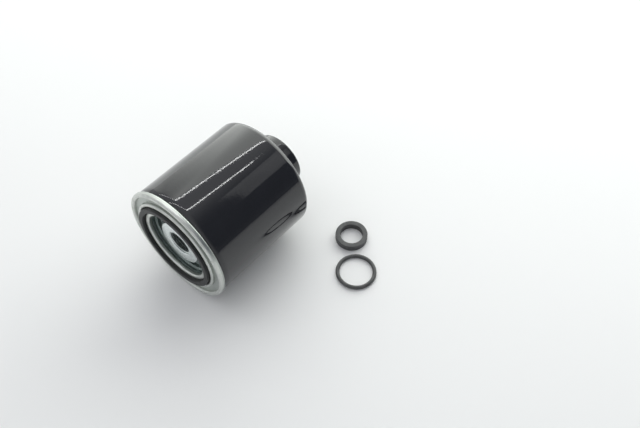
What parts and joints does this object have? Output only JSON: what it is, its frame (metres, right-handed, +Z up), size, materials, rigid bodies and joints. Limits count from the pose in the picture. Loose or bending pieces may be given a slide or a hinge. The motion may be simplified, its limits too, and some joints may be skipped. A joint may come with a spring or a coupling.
{
  "type": "spin-on filter",
  "caption": "Black spin-on filter canister with a threaded hub, head gasket and rear port collar, lying on its side, with a loose O-ring and a loose square seal beside it.",
  "frame": {"origin": "on the thread axis, at the mouth of the head thread in the plane of the hub's face", "axes": "+Y along the thread axis towards the rear port, +Z up from the surface that the canister lies on, +X to the side on which the loose seals lie"},
  "size_m": [0.1578, 0.1307, 0.094],
  "materials": {
    "black_paint": "gloss black enamel",
    "tinned_sheet": "dull zinc plated sheet",
    "plated_steel": "bright zinc plated steel",
    "spring_steel": "oiled spring wire",
    "black_rubber": "smooth black nitrile rubber",
    "loose_seal_rubber": "dusty black nitrile rubber",
    "sealing_compound": "cured sealing compound",
    "pleat_adhesive": "cured plastisol",
    "filter_paper": "resin treated pleated paper"
  },
  "bodies": {
    "canister": {"can_shell": "black_paint", "seam_lid": "tinned_sheet", "base_plate": "plated_steel", "spot_welds": "plated_steel", "seam_sealant": "sealing_compound", "head_gasket": "black_rubber", "port_collar": "black_paint", "port_weld_bead": "black_paint", "element_spring": "spring_steel"},
    "element": {"hub_grommet": "black_rubber", "upper_end_cap": "tinned_sheet", "lower_end_cap": "tinned_sheet", "upper_cap_glue": "pleat_adhesive", "lower_cap_glue": "pleat_adhesive", "pleated_media": "filter_paper", "media_clip": "tinned_sheet", "centre_tube": "tinned_sheet", "spring_cup": "plated_steel"},
    "o_ring": {"loose_o_ring": "loose_seal_rubber"},
    "square_seal": {"loose_square_seal": "loose_seal_rubber"}
  },
  "joints": [
    {"name": "element_slide", "type": "slide", "parent": "canister", "child": "element", "axis": [0, 1, 0], "range_m": [0, 0.0025], "stiffness_N_per_m": 6000, "springref_m": -0.005, "deforming": ["element_spring"]},
    {"name": "o_ring_lift", "type": "slide", "parent": "canister", "child": "o_ring", "axis": [0, 0, 1], "range_m": [0, 0.06]},
    {"name": "square_seal_lift", "type": "slide", "parent": "canister", "child": "square_seal", "axis": [0, 0, 1], "range_m": [0, 0.06]}
  ]
}
